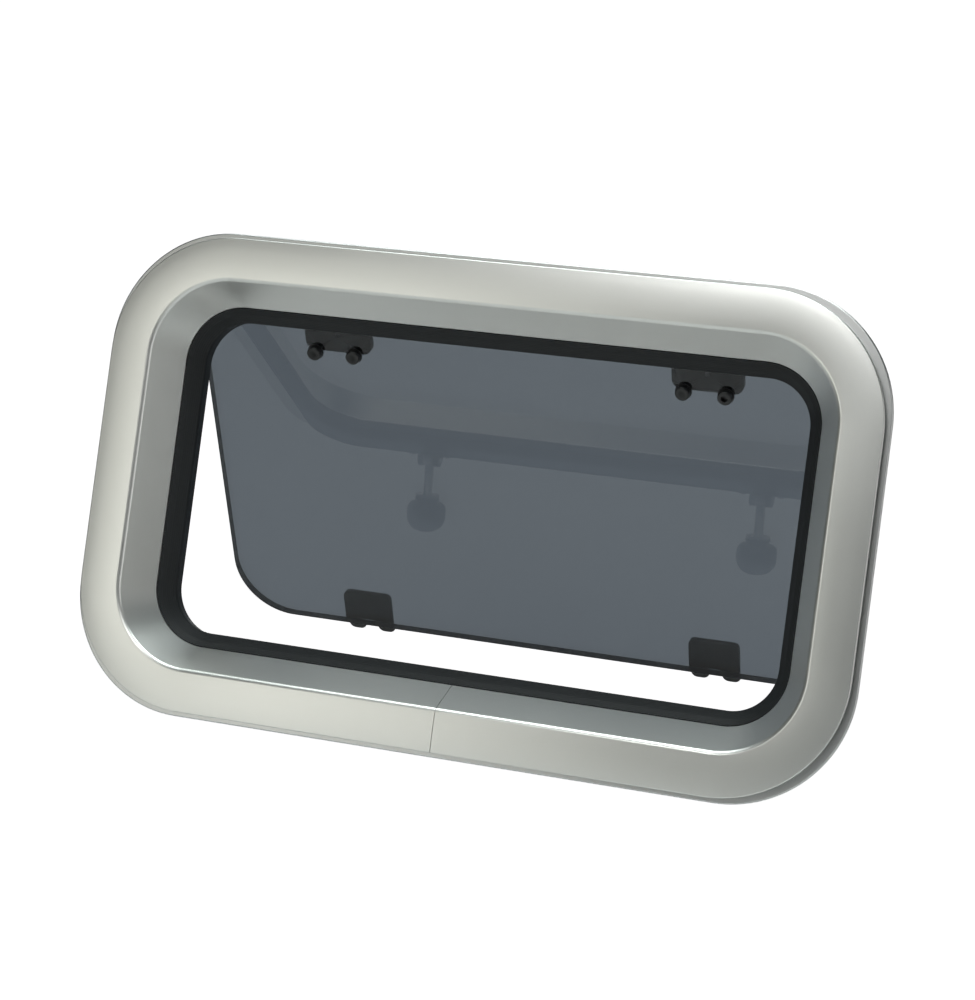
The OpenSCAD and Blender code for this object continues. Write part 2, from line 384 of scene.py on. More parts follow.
def plain_nylon(name, rgba):
    """Nylon bush: waxy and slightly uneven."""
    f = Finish(name)
    cloud = f.noise(260.0, 2.0)
    return f.surface(
        Base_Color=f.shade(cloud, darker(rgba, 0.93), rgba),
        Roughness=0.42 + cloud * 0.1,
        Normal=f.bump(cloud, 0.08, 0.00005),
    )


def straight_to_lens(f):
    """One where a surface is looked at, also through the pane, and zero in reflections."""
    path = f.node("ShaderNodeLightPath").outputs
    return (Flow(f, path["Is Camera Ray"]) + Flow(f, path["Is Transmission Ray"])).clamped()


def pale_paper(name, rgba):
    """Seamless paper for the stage, lit up evenly where it is looked at."""
    f = Finish(name)
    fibre = f.noise(60.0, 3.0)
    return f.surface(
        Base_Color=f.shade(fibre, darker(rgba, 0.99), rgba),
        Roughness=0.85 + fibre * 0.1,
        Specular_IOR_Level=0.1,
        Emission_Color=f.shade(straight_to_lens(f), (0, 0, 0, 1), (1, 1, 1, 1)),
        Emission_Strength=1.02,
    )


def finish_for(scene, key):
    """The finish of that name, made the first time it is asked for."""
    name = key + "_finish"
    found = bpy.data.materials.get(name)
    if found:
        return found
    fr, seal, ring = scene.porthole_frame, scene.porthole_seal, scene.porthole_ring
    hinge, closure = scene.porthole_hinge, scene.porthole_closure
    makers = {
        "anodised_aluminium": lambda: satin_anodised(name, fr.metal, 0.35, fr.grain),
        "ring_aluminium": lambda: satin_anodised(name, ring.metal, 0.35, fr.grain),
        "extruded_aluminium": lambda: satin_anodised(name, ring.metal, 0.36, fr.grain, False),
        "black_rubber": lambda: ribbed_rubber(name, seal.rubber, seal.ribs),
        "smoked_acrylic": lambda: smoked_acrylic(name, scene.porthole_pane.tint),
        "sawn_edge": lambda: moulded_plastic(name, (0.020, 0.025, 0.030, 1.0)),
        "black_coated_metal": lambda: black_coat(name, hinge.coat),
        "black_screw": lambda: black_coat(name, darker(hinge.coat, 0.9), 0.34),
        "black_plastic": lambda: moulded_plastic(name, closure.plastic),
        "stainless": lambda: bright_steel(name, closure.steel),
        "brass": lambda: bright_steel(name, (0.62, 0.47, 0.20, 1.0), 0.28),
        "nylon": lambda: plain_nylon(name, (0.68, 0.67, 0.62, 1.0)),
    }
    return makers[key]()


# ---------------------------------------------------------------- shaping


def only(kind, things):
    return [t for t in things if isinstance(t, kind)]


def outline(bm, places, rounds=None, steps=5):
    """Draws a closed outline with rounded corners and returns its face."""
    known = set(bm.faces)
    corners = [bm.verts.new(p) for p in places]
    bm.faces.new(corners)
    cuts = []
    for corner, radius in zip(corners, rounds or [0.0] * len(corners)):
        one, two = [e.other_vert(corner).co - corner.co for e in corner.link_edges]
        cuts.append(radius * math.tan((math.pi - one.angle(two)) / 2))
    for n in range(len(corners)):
        room = 0.996 * (corners[n].co - corners[n - 1].co).length
        if cuts[n] + cuts[n - 1] > room:
            share = room / (cuts[n] + cuts[n - 1])
            cuts[n], cuts[n - 1] = cuts[n] * share, cuts[n - 1] * share
    for corner, cut in zip(corners, cuts):
        if cut:
            bmesh.ops.bevel(
                bm, geom=[corner], offset=cut, offset_type="OFFSET",
                segments=steps, profile=0.5, affect="VERTICES", clamp_overlap=False, material=-1,
            )
    return next(f for f in bm.faces if f not in known)


def bare(bm, face):
    """Takes away an outline's face and returns its edges."""
    edges = list(face.edges)
    bmesh.ops.delete(bm, geom=[face], context="FACES_ONLY")
    return edges


def ring_of(bm, radius, centre, along, steps=32):
    """A circle of edges about an axis."""
    turn = Vector(along).to_track_quat("Z", "Y").to_matrix().to_4x4()
    made = bmesh.ops.create_circle(
        bm, cap_ends=False, segments=steps, radius=radius, matrix=Matrix.Translation(centre) @ turn
    )["verts"]
    return list({e for v in made for e in v.link_edges})


def pulled(bm, edges, move):
    """Pulls edges out into a wall and returns the far edges."""
    out = bmesh.ops.extrude_edge_only(bm, edges=edges)["geom"]
    verts = only(bmesh.types.BMVert, out)
    bmesh.ops.translate(bm, verts=verts, vec=move)
    moved = set(verts)
    return [e for e in only(bmesh.types.BMEdge, out) if moved.issuperset(e.verts)]


def solid(bm, faces, move):
    """Pulls flat faces out into a solid."""
    out = bmesh.ops.extrude_face_region(bm, geom=faces)["geom"]
    bmesh.ops.translate(bm, verts=only(bmesh.types.BMVert, out), vec=move)


def holed(bm, edges, normal):
    """Fills an outline and leaves the holes inside it open."""
    out = bmesh.ops.triangle_fill(
        bm, use_beauty=True, use_dissolve=False, edges=edges, normal=normal
    )
    return only(bmesh.types.BMFace, out["geom"])


def soften(bm, width, segments=2, sharper=35, among=None):
    """Breaks every edge that is sharper than an angle."""
    edges = [
        e for e in (among or bm.edges)
        if e.is_manifold and e.calc_face_angle() > math.radians(sharper)
    ]
    bmesh.ops.bevel(
        bm, geom=edges, offset=width, offset_type="OFFSET", segments=segments, profile=0.5,
        affect="EDGES", clamp_overlap=True, material=-1,
    )


def carried(bm, edges, width, height, radius, start, steps):
    """Carries a section from the bottom middle round a rounded rectangle."""
    x, z = width / 2 - radius, height / 2 - radius
    legs = [((x - start, 0, 0), (x, 0, -z)), ((0, 0, 2 * z), (x, 0, z)),
            ((-2 * x, 0, 0), (-x, 0, z)), ((0, 0, -2 * z), (-x, 0, -z))]
    for move, centre in legs:
        edges = pulled(bm, edges, move)
        verts = list({v for e in edges for v in e.verts})
        out = bmesh.ops.spin(
            bm, geom=verts + edges, cent=centre, axis=(0, -1, 0), dvec=(0, 0, 0),
            angle=math.pi / 2, steps=steps, use_merge=False, use_normal_flip=False,
            use_duplicate=False,
        )["geom_last"]
        edges = only(bmesh.types.BMEdge, out)
    return pulled(bm, edges, (x - start, 0, 0))


def section(bm, points, rounds, height, start, steps=5):
    """Draws a section at the bottom middle from distances in and depths, in millimetres."""
    layer = bm.verts.layers.float.get("across") or bm.verts.layers.float.new("across")
    face = outline(
        bm, [(start, d * MM, i * MM - height / 2) for i, d in points],
        [r * MM for r in rounds], steps,
    )
    verts = list(face.verts)
    first = min(range(len(verts)), key=lambda n: (verts[n].co.y, verts[n].co.z))
    run = 0.0
    for n in range(len(verts)):
        here, there = verts[(first + n) % len(verts)], verts[(first + n + 1) % len(verts)]
        here[layer] = run
        run += (there.co - here.co).length
    return bare(bm, face)


def turned(bm, points, rounds, centre, along, steps=40, round_steps=4):
    """Turns an outline of radius and distance, in millimetres, about an axis."""
    along = Vector(along).normalized()
    side = along.orthogonal().normalized() if abs(along.x) > 0.9 else Vector((1, 0, 0))
    centre = Vector(centre)
    places = [centre + side * (r * MM) + along * (s * MM) for r, s in points]
    edges = bare(bm, outline(bm, places, [r * MM for r in rounds], round_steps))

    def off_axis(v):
        away = v.co - centre
        return (away - along * away.dot(along)).length > 1e-7

    on_axis = [e for e in edges if not any(off_axis(v) for v in e.verts)]
    edges = [e for e in edges if e not in on_axis]
    bmesh.ops.delete(bm, geom=on_axis, context="EDGES")
    verts = list({v for e in edges for v in e.verts})
    bmesh.ops.spin(
        bm, geom=verts + edges, cent=centre, axis=along, dvec=(0, 0, 0), angle=math.tau,
        steps=steps, use_merge=True, use_normal_flip=False, use_duplicate=False,
    )


def socket_screw(bm, centre, along, shank, head, head_length, foot, socket, depth, crown=0.5):
    """A socket screw: its head's underside is at the centre, and it runs back to its foot."""
    along, centre = Vector(along).normalized(), Vector(centre)
    before = set(bm.verts)
    rim = socket * 1.32
    points = [
        (0, -foot), (shank, -foot), (shank, 0), (head, 0), (head, head_length), (rim, head_length),
    ]
    rounds = [0, shank * 0.35, 0, head * 0.06, head_length * crown, 0]
    side = along.orthogonal().normalized() if abs(along.x) > 0.9 else Vector((1, 0, 0))
    places = [centre + side * (r * MM) + along * (s * MM) for r, s in points]
    edges = bare(bm, outline(bm, places, [r * MM for r in rounds], 4))
    closing = [
        e for e in edges
        if {round((v.co - centre).dot(along) / MM, 4) for v in e.verts} == {-foot, head_length}
    ]
    edges = [e for e in edges if e not in closing]
    bmesh.ops.delete(bm, geom=closing, context="EDGES")
    verts = list({v for e in edges for v in e.verts})
    bmesh.ops.spin(
        bm, geom=verts + edges, cent=centre, axis=along, dvec=(0, 0, 0), angle=math.tau,
        steps=36, use_merge=True, use_normal_flip=False, use_duplicate=False,
    )
    top = centre + along * (head_length * MM)
    mine = [v for v in bm.verts if v not in before]
    bmesh.ops.remove_doubles(bm, verts=mine, dist=1e-6)
    mine = [v for v in bm.verts if v not in before]
    open_rim = [e for e in {e for v in mine for e in v.link_edges} if e.is_boundary]
    hexagon = ring_of(bm, socket * MM, top, along, 6)
    bmesh.ops.bridge_loops(bm, edges=open_rim + hexagon)
    floor = pulled(bm, hexagon, along * (-depth * MM))
    bmesh.ops.contextual_create(bm, geom=floor)


def finished(context, name, bm, body, nodes, slot, finish=None, sharp=40):
    """Closes a shape, hands it to the scene and fixes it to its body."""
    bmesh.ops.remove_doubles(bm, verts=bm.verts, dist=2e-6)
    bmesh.ops.holes_fill(bm, edges=[e for e in bm.edges if e.is_boundary], sides=0)
    bmesh.ops.recalc_face_normals(bm, faces=bm.faces)
    open_edges = sum(1 for e in bm.edges if not e.is_manifold)
    if open_edges:
        print(name, "has", open_edges, "open edges")
    mesh = bpy.data.meshes.new(name)
    bm.to_mesh(mesh)
    bm.free()
    mesh.polygons.foreach_set("use_smooth", [True] * len(mesh.polygons))
    mesh.set_sharp_from_angle(angle=math.radians(sharp))
    made = bpy.data.objects.new(name, mesh)
    context.scene.collection.objects.link(made)
    mesh.materials.append(finish_for(context.scene, finish or slot))
    even = made.modifiers.new("even_normals", "WEIGHTED_NORMAL")
    even.keep_sharp = True
    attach(made, body)
    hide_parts(*nodes)
    return made


def recoat(context, node, key):
    """Gives a carried-over node its finish."""
    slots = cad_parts[node].data.materials
    for n in range(len(slots)):
        slots[n] = finish_for(context.scene, key)
    if not len(slots):
        slots.append(finish_for(context.scene, key))


def swung(context, bm):
    """Swings what was shaped closed to the open angle about the hinge axis."""
    hinge, pane = context.scene.porthole_hinge, context.scene.porthole_pane
    bmesh.ops.rotate(
        bm, cent=(0, hinge.axis_y, hinge.axis_z),
        matrix=Matrix.Rotation(pane.opened, 3, "X"), verts=bm.verts,
    )


class BuildOperator(bpy.types.Operator):
    """Common ground of the porthole's build steps"""

    bl_options = {"REGISTER", "UNDO"}


# ---------------------------------------------------------------- pieces


class PORTHOLE_OT_front_frame(BuildOperator):
    """Add the bent aluminium frame with its rounded ridge and butt seam"""

    bl_idname = "porthole.front_frame"
    bl_label = "Front Frame"

    def execute(self, context):
        fr = context.scene.porthole_frame
        bm = bmesh.new()
        start = fr.seam / 2
        ridge = fr.ridge / MM
        points = [
            (0, 0), (0, -2.25), (9.6, -2.74), (19.75, -2.2), (30.2, 16.7), (30.2, 19.1),
            (27.7, 19.1), (27.7, 23.9), (30.2, 23.9), (30.2, 26), (17.5, 26), (17.5, 0),
        ]
        rounds = [0.25, 0.55, 130, ridge, 0.25, 0, 0, 0, 0, 0.3, 0.6, 0]
        skin = section(bm, points, rounds, fr.height, start, 9)
        hollow = section(
            bm, [(19.7, 3), (25.3, 13.4), (25.3, 23.8), (19.7, 23.8)], [0] * 4, fr.height, start
        )
        size = (fr.width, fr.height, fr.corner, start, 30)
        ends = carried(bm, skin, *size) + carried(bm, hollow, *size)
        caps = holed(bm, skin + hollow, (-1, 0, 0)) + holed(bm, ends, (1, 0, 0))
        if len(caps) < 4:
            raise RuntimeError("the seam ends of the frame did not close")
        for x, z in CLAMP_SPOTS:
            turned(
                bm, [(0, -0.3), (4, -0.3), (4, 2.2), (0, 2.2)], [0, 0, 0.3, 0],
                (x * MM, 0, z * MM), (0, 1, 0), 32,
            )
        finished(context, "frame_front", bm, "frame", ["front_frame"], "anodised_aluminium")
        recoat(context, "frame_joint_key", "extruded_aluminium")
        recoat(context, "joint_screws", "stainless")
        return {"FINISHED"}


class PORTHOLE_OT_window_seal(BuildOperator):
    """Add the ribbed rubber seal that lines the opening"""

    bl_idname = "porthole.window_seal"
    bl_label = "Window Seal"

    def execute(self, context):
        fr = context.scene.porthole_frame
        bm = bmesh.new()
        points = [
            (27.9, 19.3), (30.35, 19.3), (30.35, 16.9), (33.4, 19.95), (36.8, 24.5),
            (36.8, 26.2), (35.2, 34.5), (33.8, 34.5), (32.4, 28.4), (27.8, 28.4),
            (27.8, 26.1), (30.35, 26.1), (30.35, 23.7), (27.9, 23.7),
        ]
        rounds = [0.2, 0, 0.3, 1.6, 0.7, 0.7, 0.5, 0.5, 0.8, 0.4, 0.1, 0, 0, 0.2]
        ends = section(bm, points, rounds, fr.height, 0.0, 6)
        carried(bm, ends, fr.width, fr.height, fr.corner, 0.0, 26)
        finished(context, "seal_window", bm, "frame", ["window_seal"], "black_rubber", sharp=50)
        return {"FINISHED"}


class PORTHOLE_OT_clamp_ring(BuildOperator):
    """Add the cabin-side clamp ring and its socket screws"""

    bl_idname = "porthole.clamp_ring"
    bl_label = "Clamp Ring"

    def execute(self, context):
        fr, ring = context.scene.porthole_frame, context.scene.porthole_ring
        gap = ring.gap / MM
        width, height = fr.width + 2 * ring.reach, fr.height + 2 * ring.reach
        bm = bmesh.new()
        points = [
            (0, gap), (0, gap + 3.2), (16.5, gap + 3.2), (16.5, 14), (19.4, 14), (19.4, gap),
        ]
        ends = section(bm, points, [0.75, 0.75, 1.2, 0.6, 0.6, 0.3], height, 0.0, 6)
        carried(bm, ends, width, height, ring.corner, 0.0, 26)
        finished(context, "ring_clamp", bm, "frame", ["clamp_ring"], "ring_aluminium")
        bm = bmesh.new()
        for x, z in CLAMP_SPOTS:
            socket_screw(
                bm, (x * MM, (gap + 3.25) * MM, z * MM), (0, 1, 0), 2, 3.8, 2.15, gap + 4.45,
                1.3, 1.3,
            )
        finished(context, "screws_clamp", bm, "frame", ["clamp_screws"], "stainless")
        return {"FINISHED"}


class PORTHOLE_OT_hinge_brackets(BuildOperator):
    """Add the two hinge brackets with their pins and screws"""

    bl_idname = "porthole.hinge_brackets"
    bl_label = "Hinge Brackets"

    def execute(self, context):
        hinge = context.scene.porthole_hinge
        y, z = hinge.axis_y / MM, hinge.axis_z / MM
        cheek = [
            (27, 84.6), (29.5, 84.6), (33.4, 88.5), (46.1, 88.5), (47.6, z - 4.4),
            (y + 4.4, z - 4.4),
            (y + 4.4, z + 4.4), (36, z + 4), (29, 93.2), (27, 93.2),
        ]
        cheek_rounds = [0, 0.4, 1.2, 1.0, 1.0, 4.4, 4.4, 2.5, 0.8, 0]
        screws = bmesh.new()
        for side, sign in SIDES:
            x0 = sign * hinge.offset / MM
            bm = bmesh.new()
            foot = outline(
                bm, [((x0 + a) * MM, SEAT, b * MM)
                     for a, b in ((-22, 84.2), (22, 84.2), (22, 93.4), (-22, 93.4))],
                [2 * MM] * 4,
            )
            solid(bm, [foot], (0, 2.5 * MM, 0))
            for inner in (-14.5, 10.5):
                wall = outline(
                    bm, [((x0 + inner) * MM, a * MM, b * MM) for a, b in cheek],
                    [r * MM for r in cheek_rounds], 7,
                )
                solid(bm, [wall], (4 * MM, 0, 0))
            soften(bm, 0.45 * MM, 3)
            finished(
                context, "bracket_hinge_" + side, bm, "frame", ["hinge_bracket_" + side],
                "black_coated_metal",
            )
            bm = bmesh.new()
            turned(
                bm, [(0, -15), (2.5, -15), (2.5, 14.75), (3.6, 14.75), (3.6, 16.25), (0, 16.25)],
                [0, 0.4, 0, 0.3, 0.6, 0], (x0 * MM, hinge.axis_y, hinge.axis_z), (sign, 0, 0), 40,
            )
            finished(
                context, "pin_hinge_" + side, bm, "frame", ["hinge_pin_" + side], "stainless"
            )
            for a in (-18.3, 18.3):
                socket_screw(
                    screws, ((x0 + a) * MM, 28.55 * MM, 88.9 * MM), (0, 1, 0),
                    2, 3.5, 2.2, 6.15, 1.32, 1.3, 0.6,
                )
        finished(
            context, "screws_hinge_bracket", screws, "frame", ["hinge_bracket_screws"], "stainless"
        )
        return {"FINISHED"}


class PORTHOLE_OT_pane(BuildOperator):
    """Add the smoked acrylic pane with polished, eased edges"""

    bl_idname = "porthole.pane"
    bl_label = "Pane"

    def execute(self, context):
        pane, hinge = context.scene.porthole_pane, context.scene.porthole_hinge
        w, h, y = pane.width / 2, pane.height / 2, pane.face
        bm = bmesh.new()
        edges = bare(bm, outline(
            bm, [(-w, y, -h), (w, y, -h), (w, y, h), (-w, y, h)], [pane.corner] * 4, 18
        ))
        for sign in (-1, 1):
            for a in (-1, 1):
                at = (sign * hinge.offset + a * hinge.screws / 2, y, 70.3 * MM)
                edges += ring_of(bm, 2.2 * MM, at, (0, 1, 0), 20)
        solid(bm, holed(bm, edges, (0, -1, 0)), (0, pane.thickness, 0))
        outside = [
            e for e in bm.edges
            if e.is_manifold and e.calc_face_angle() > 1.2
            and (abs(e.verts[0].co.x) > w * 0.9 or abs(e.verts[0].co.z) > h * 0.9)
        ]
        soften(bm, 0.7 * MM, 3, 35, outside)
        for face in bm.faces:
            rim = abs(face.normal.y) < 0.4 and (
                any(abs(v.co.x) > w * 0.85 or abs(v.co.z) > h * 0.85 for v in face.verts)
            )
            face.material_index = int(rim)
        swung(context, bm)
        made = finished(context, "pane_smoked", bm, "sash", ["pane"], "smoked_acrylic")
        made.data.materials.append(finish_for(context.scene, "sawn_edge"))
        return {"FINISHED"}


class PORTHOLE_OT_hinge_leaves(BuildOperator):
    """Add the hinge leaves, their bushes and the screws through the pane"""

    bl_idname = "porthole.hinge_leaves"
    bl_label = "Hinge Leaves"

    def execute(self, context):
        pane, hinge = context.scene.porthole_pane, context.scene.porthole_hinge
        y, z = hinge.axis_y / MM, hinge.axis_z / MM
        seat = (pane.face + pane.thickness) / MM
        half = hinge.leaf / 2 / MM
        gap = hinge.screws / 2 / MM
        barrel = [
            (seat, 84), (48.4, 84), (48.4, z - 4.4), (y + 4.4, z - 4.4), (y + 4.4, z + 4.4),
            (y - 4.4, z + 4.4), (y - 4.4, z), (seat, z),
        ]
        barrel_rounds = [0, 0.5, 0.5, 4.4, 4.4, 4.4, 0.6, 0.5]
        screws, washers = bmesh.new(), bmesh.new()
        for side, sign in SIDES:
            x0 = sign * hinge.offset / MM
            bm = bmesh.new()
            edges = bare(bm, outline(
                bm, [((x0 + a) * MM, seat * MM, b * MM)
                     for a, b in ((-half, 68.5), (half, 68.5), (half, 87.9), (-half, 87.9))],
                [4.5 * MM] * 4, 8,
            ))
            for a, b, r in ((-gap, 70.3, 2.05), (gap, 70.3, 2.05), (0, 77.4, 1.2)):
                edges += ring_of(bm, r * MM, ((x0 + a) * MM, seat * MM, b * MM), (0, 1, 0), 20)
            solid(bm, holed(bm, edges, (0, -1, 0)), (0, 3.5 * MM, 0))
            edges = bare(bm, outline(
                bm, [((x0 - 10) * MM, a * MM, b * MM) for a, b in barrel],
                [r * MM for r in barrel_rounds], 8,
            ))
            edges += ring_of(bm, 3.52 * MM, ((x0 - 10) * MM, y * MM, z * MM), (1, 0, 0), 32)
            solid(bm, holed(bm, edges, (-1, 0, 0)), (20 * MM, 0, 0))
            soften(bm, 0.4 * MM, 2)
            swung(context, bm)
            finished(
                context, "leaf_hinge_" + side, bm, "sash", ["hinge_leaf_" + side],
                "black_coated_metal",
            )
            for a in (-gap, gap):
                at = ((x0 + a) * MM, 34.35 * MM, 70.3 * MM)
                socket_screw(screws, at, (0, -1, 0), 2, 3.5, 3.05, 11.35, 1.7, 1.8, 0.28)
                turned(
                    washers, [(2.1, -0.53), (4, -0.53), (4, -0.05), (2.1, -0.05)],
                    [0, 0.15, 0.15, 0], at, (0, -1, 0), 32, 3,
                )
            recoat(context, "hinge_bush_" + side, "nylon")
        swung(context, screws)
        finished(context, "screws_pane", screws, "sash", ["hinge_screws"], "black_screw")
        swung(context, washers)
        finished(
            context, "washers_pane", washers, "sash", ["screw_washers"], "black_rubber",
            "black_screw",
        )
        return {"FINISHED"}


class PORTHOLE_OT_catches(BuildOperator):
    """Add the forked catch plates at the foot of the pane"""

    bl_idname = "porthole.catches"
    bl_label = "Catch Plates"

    def execute(self, context):
        pane, closure = context.scene.porthole_pane, context.scene.porthole_closure
        seat = (pane.face + pane.thickness) / MM + 0.02
        half, slot = closure.plate / 2 / MM, closure.slot / 2 / MM
        top, tip, root = -72, -96.5, -pane.height / 2 / MM
        shape = [
            (-half, tip), (-slot, tip), (-slot, root), (slot, root), (slot, tip), (half, tip),
            (half, top), (-half, top),
        ]
        for side, sign in SIDES:
            x0 = sign * closure.offset / MM
            bm = bmesh.new()
            face = outline(
                bm, [((x0 + a) * MM, seat * MM, b * MM) for a, b in shape],
                [r * MM for r in (3.4, 3.4, 0.6, 0.6, 3.4, 3.4, 3, 3)], 7,
            )
            solid(bm, [face], (0, 3.5 * MM, 0))
            soften(bm, 0.75 * MM, 3)
            swung(context, bm)
            finished(
                context, "catch_fork_" + side, bm, "sash", ["catch_" + side], "black_coated_metal"
            )
        return {"FINISHED"}


class PORTHOLE_OT_bolt_brackets(BuildOperator):
    """Add the swing-bolt brackets with their pins and screws"""

    bl_idname = "porthole.bolt_brackets"
    bl_label = "Bolt Brackets"

    def execute(self, context):
        closure = context.scene.porthole_closure
        y, z = 30.6, -91.3
        foot = [
            (-14, -93.4), (-2.9, -93.4), (-2.9, -86.8), (2.9, -86.8), (2.9, -93.4), (14, -93.4),
            (14, -84.2), (-14, -84.2),
        ]
        cheek = [(26.9, z - 3.85), (y + 3.85, z - 3.85), (y + 3.85, z + 3.85), (26.9, z + 3.85)]
        screws = bmesh.new()
        for side, sign in SIDES:
            x0 = sign * closure.offset / MM
            bm = bmesh.new()
            face = outline(
                bm, [((x0 + a) * MM, SEAT, b * MM) for a, b in foot],
                [r * MM for r in (2, 0.3, 0.8, 0.8, 0.3, 2, 2, 2)],
            )
            solid(bm, [face], (0, 1.6 * MM, 0))
            for inner in (-5.9, 2.9):
                wall = outline(
                    bm, [((x0 + inner) * MM, a * MM, b * MM) for a, b in cheek],
                    [r * MM for r in (0, 3.85, 3.85, 0)], 8,
                )
                solid(bm, [wall], (3 * MM, 0, 0))
            soften(bm, 0.3 * MM, 2)
            finished(
                context, "bracket_bolt_" + side, bm, "frame", ["bolt_bracket_" + side],
                "black_coated_metal",
            )
            bm = bmesh.new()
            turned(
                bm, [(0, -6.2), (1.5, -6.2), (1.5, 6.2), (0, 6.2)], [0, 0.35, 0.35, 0],
                (x0 * MM, y * MM, z * MM), (1, 0, 0), 32,
            )
            finished(context, "pin_bolt_" + side, bm, "frame", ["bolt_pin_" + side], "stainless")
            for a in (-10, 10):
                socket_screw(
                    screws, ((x0 + a) * MM, 27.65 * MM, -88.9 * MM), (0, 1, 0),
                    1.5, 2.7, 1.8, 5.25, 1.0, 1.05, 0.6,
                )
        finished(
            context, "screws_bolt_bracket", screws, "frame", ["bolt_bracket_screws"], "stainless"
        )
        return {"FINISHED"}


class PORTHOLE_OT_swing_bolts(BuildOperator):
    """Add the swing bolts with their washers and round knobs"""

    bl_idname = "porthole.swing_bolts"
    bl_label = "Swing Bolts"

    def execute(self, context):
        closure = context.scene.porthole_closure
        along = Vector((0, math.cos(closure.drop), -math.sin(closure.drop)))
        big = closure.knob / MM
        thread, marks = [(0, 31), (2.2, 31)], [0, 0.25]
        for n in range(27):
            s = 30.7 - n * 0.8
            thread += [(2.5, s - 0.3), (2.5, s - 0.42), (2.18, s - 0.8)]
            marks += [0, 0, 0]
        stem = thread + [(2.5, 8.6), (2.5, 2), (0, 2)]
        marks += [0, 0, 0]
        foot = 20.6
        knob = [
            (3.62, foot), (6.5, foot), (6.5, foot + 1.6), (5.4, foot + 1.6), (5.4, foot + 2.55),
            (big, foot + 2.2), (big, foot + 18.9), (0, foot + 18.9), (0, 35), (2.7, 35),
            (2.7, foot + 12), (3.62, foot + 12),
        ]
        knob_rounds = [0.2, 0.5, 0.5, 0.3, 0.5, 8.1, 8.45, 0, 0, 0, 0, 0]
        for side, sign in SIDES:
            pivot = Vector((sign * closure.offset, 30.6 * MM, -91.3 * MM))
            bm = bmesh.new()
            edges = ring_of(bm, 3.8 * MM, pivot - Vector((2.7 * MM, 0, 0)), (1, 0, 0), 40)
            edges += ring_of(bm, 1.53 * MM, pivot - Vector((2.7 * MM, 0, 0)), (1, 0, 0), 24)
            solid(bm, holed(bm, edges, (-1, 0, 0)), (5.4 * MM, 0, 0))
            soften(bm, 0.35 * MM, 2)
            turned(bm, stem, marks, pivot, along, 32)
            finished(
                context, "bolt_swing_" + side, bm, "bolt_" + side, ["swing_bolt_" + side],
                "stainless", sharp=60,
            )
            bm = bmesh.new()
            turned(
                bm, [(2.56, 19.2), (6.3, 19.2), (6.3, 20.5), (2.56, 20.5)], [0.15, 0.3, 0.3, 0.15],
                pivot, along, 48, 3,
            )
            finished(
                context, "washer_clamp_" + side, bm, "washer_" + side, ["clamp_washer_" + side],
                "stainless",
            )
            bm = bmesh.new()
            turned(bm, knob, knob_rounds, pivot, along, 64, 12)
            finished(
                context, "knob_clamp_" + side, bm, "knob_" + side, ["clamp_knob_" + side],
                "black_plastic",
            )
            recoat(context, "knob_insert_" + side, "brass")
        return {"FINISHED"}


# ---------------------------------------------------------------- stage

WHITE, WARM, COOL = (1.0, 1.0, 1.0), (1.0, 0.99, 0.92), (0.92, 1.0, 1.0)

# Soft panels, all turned to the opening: name, place, width, height, watts and tone.
PANELS = [
    ("overhead", (0.0, -0.2, 0.9), 0.9, 0.6, 9.0, COOL),
    ("right_side", (1.1, -0.4, 0.1), 0.7, 0.8, 2.0, WHITE),
    ("front_high", (0.0, -1.0, 0.5), 0.4, 0.3, 2.5, WHITE),
    ("front_left", (-0.5, -1.0, -0.2), 0.4, 0.9, 1.9, WARM),
    ("cabin_left", (-0.8, 1.3, 0.5), 0.8, 0.8, 5.0, WHITE),
    ("cabin_right", (0.9, 1.1, 0.1), 0.6, 0.8, 2.5, WHITE),
]


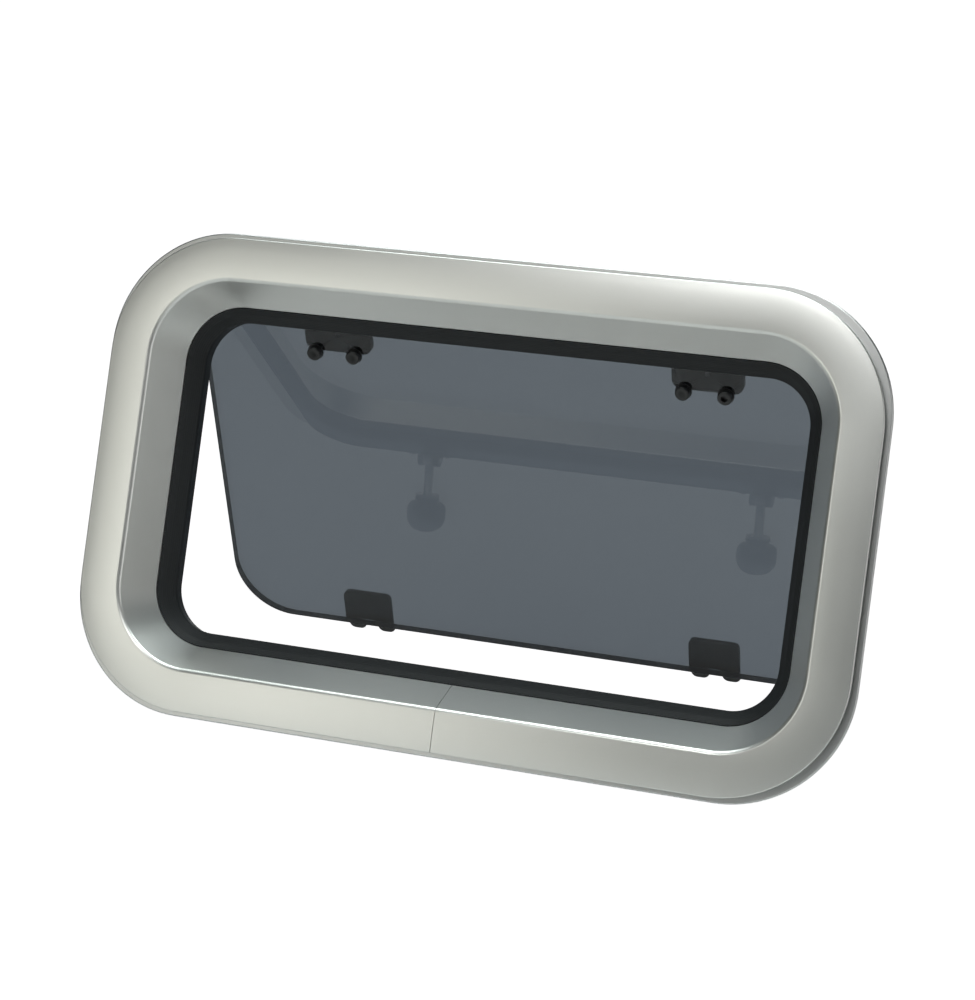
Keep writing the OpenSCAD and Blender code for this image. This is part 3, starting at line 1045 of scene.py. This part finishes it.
class PORTHOLE_OT_stage(BuildOperator):
    """Add the pale floor, the backdrop, the soft lights and the camera"""

    bl_idname = "porthole.stage"
    bl_label = "Stage"

    def execute(self, context):
        scene, stage = context.scene, context.scene.porthole_stage
        bm = bmesh.new()
        edge = [
            bm.verts.new(p)
            for p in ((-4, -3, stage.floor), (-4, 3.2, stage.floor), (-4, 3.2, 3.2))
        ]
        wire = [bm.edges.new(edge[:2]), bm.edges.new(edge[1:])]
        pulled(bm, wire, (8, 0, 0))
        fold = [e for e in bm.edges if len(e.link_faces) == 2]
        bmesh.ops.bevel(
            bm, geom=fold, offset=0.9, offset_type="OFFSET", segments=16, profile=0.5,
            affect="EDGES", clamp_overlap=True, material=-1,
        )
        bmesh.ops.recalc_face_normals(bm, faces=bm.faces)
        mesh = bpy.data.meshes.new("stage_sheet")
        bm.to_mesh(mesh)
        bm.free()
        mesh.polygons.foreach_set("use_smooth", [True] * len(mesh.polygons))
        sheet = bpy.data.objects.new("stage_sheet", mesh)
        scene.collection.objects.link(sheet)
        mesh.materials.append(pale_paper("stage_paper", stage.paper))
        self.lights(scene)
        self.world(scene)
        self.camera(scene, stage)
        return {"FINISHED"}

    def lights(self, scene):
        """Soft panels round the porthole."""
        for name, place, width, height, watts, tone in PANELS:
            lamp = bpy.data.lights.new(name, "AREA")
            lamp.shape, lamp.size, lamp.size_y = "RECTANGLE", width, height
            lamp.energy, lamp.color = watts, tone
            made = bpy.data.objects.new(name, lamp)
            scene.collection.objects.link(made)
            made.location = place
            made.rotation_euler = (-Vector(place)).to_track_quat("-Z", "Y").to_euler()
            made.visible_camera = made.visible_transmission = False

    def world(self, scene):
        """Plain white where it is seen, and dark where it would only light."""
        sky = bpy.data.worlds.new("stage_world")
        scene.world = sky
        sky.use_nodes = True
        f = Finish(tree=sky.node_tree)
        seen = straight_to_lens(f)
        back = f.node("ShaderNodeBackground", {}, {"Strength": seen * 1.02})
        out = f.node("ShaderNodeOutputWorld")
        f.tree.links.new(back.outputs[0], out.inputs[0])
        back.inputs["Color"].default_value = (1, 1, 1, 1)
        scene.view_settings.view_transform = "Standard"
        scene.view_settings.look = "None"

    def camera(self, scene, stage):
        lens = bpy.data.cameras.new("stage_camera")
        lens.sensor_width, lens.sensor_fit, lens.lens = 36.0, "AUTO", stage.lens
        lens.clip_start, lens.clip_end = 0.01, 50.0
        camera = bpy.data.objects.new("stage_camera", lens)
        scene.collection.objects.link(camera)
        a, e, turn = stage.azimuth, stage.elevation, stage.roll
        back = Vector((math.sin(a) * math.cos(e), -math.cos(a) * math.cos(e), math.sin(e)))
        right = (-back).cross(Vector((0, 0, 1))).normalized()
        up = right.cross(-back)
        side = right * math.cos(turn) + up * math.sin(turn)
        top = up * math.cos(turn) - right * math.sin(turn)
        pose = Matrix((side, top, back)).transposed().to_4x4()
        camera.matrix_world = Matrix.Translation(stage.place) @ pose
        scene.camera = camera


STEPS = (
    PORTHOLE_OT_front_frame,
    PORTHOLE_OT_window_seal,
    PORTHOLE_OT_clamp_ring,
    PORTHOLE_OT_hinge_brackets,
    PORTHOLE_OT_pane,
    PORTHOLE_OT_hinge_leaves,
    PORTHOLE_OT_catches,
    PORTHOLE_OT_bolt_brackets,
    PORTHOLE_OT_swing_bolts,
    PORTHOLE_OT_stage,
)


class PORTHOLE_PT_build(bpy.types.Panel):
    """Lists the build steps and their settings"""

    bl_idname = "PORTHOLE_PT_build"
    bl_label = "Opening Porthole"
    bl_space_type = "VIEW_3D"
    bl_region_type = "UI"
    bl_category = "Porthole"

    def draw(self, context):
        column = self.layout.column()
        for step in STEPS:
            column.operator(step.bl_idname)
        for name in GROUPS:
            box = column.box()
            group = getattr(context.scene, name)
            for key in group.bl_rna.properties.keys():
                if key not in {"rna_type", "name"}:
                    box.prop(group, key)


def register():
    for name, group in GROUPS.items():
        bpy.utils.register_class(group)
        setattr(bpy.types.Scene, name, PointerProperty(type=group))
    for step in STEPS:
        bpy.utils.register_class(step)
    bpy.utils.register_class(PORTHOLE_PT_build)


def unregister():
    bpy.utils.unregister_class(PORTHOLE_PT_build)
    for step in reversed(STEPS):
        bpy.utils.unregister_class(step)
    for name, group in reversed(GROUPS.items()):
        delattr(bpy.types.Scene, name)
        bpy.utils.unregister_class(group)


def main():
    register()
    for step in STEPS:
        area, call = step.bl_idname.split(".")
        getattr(getattr(bpy.ops, area), call)()


if __name__ == "__main__":
    main()
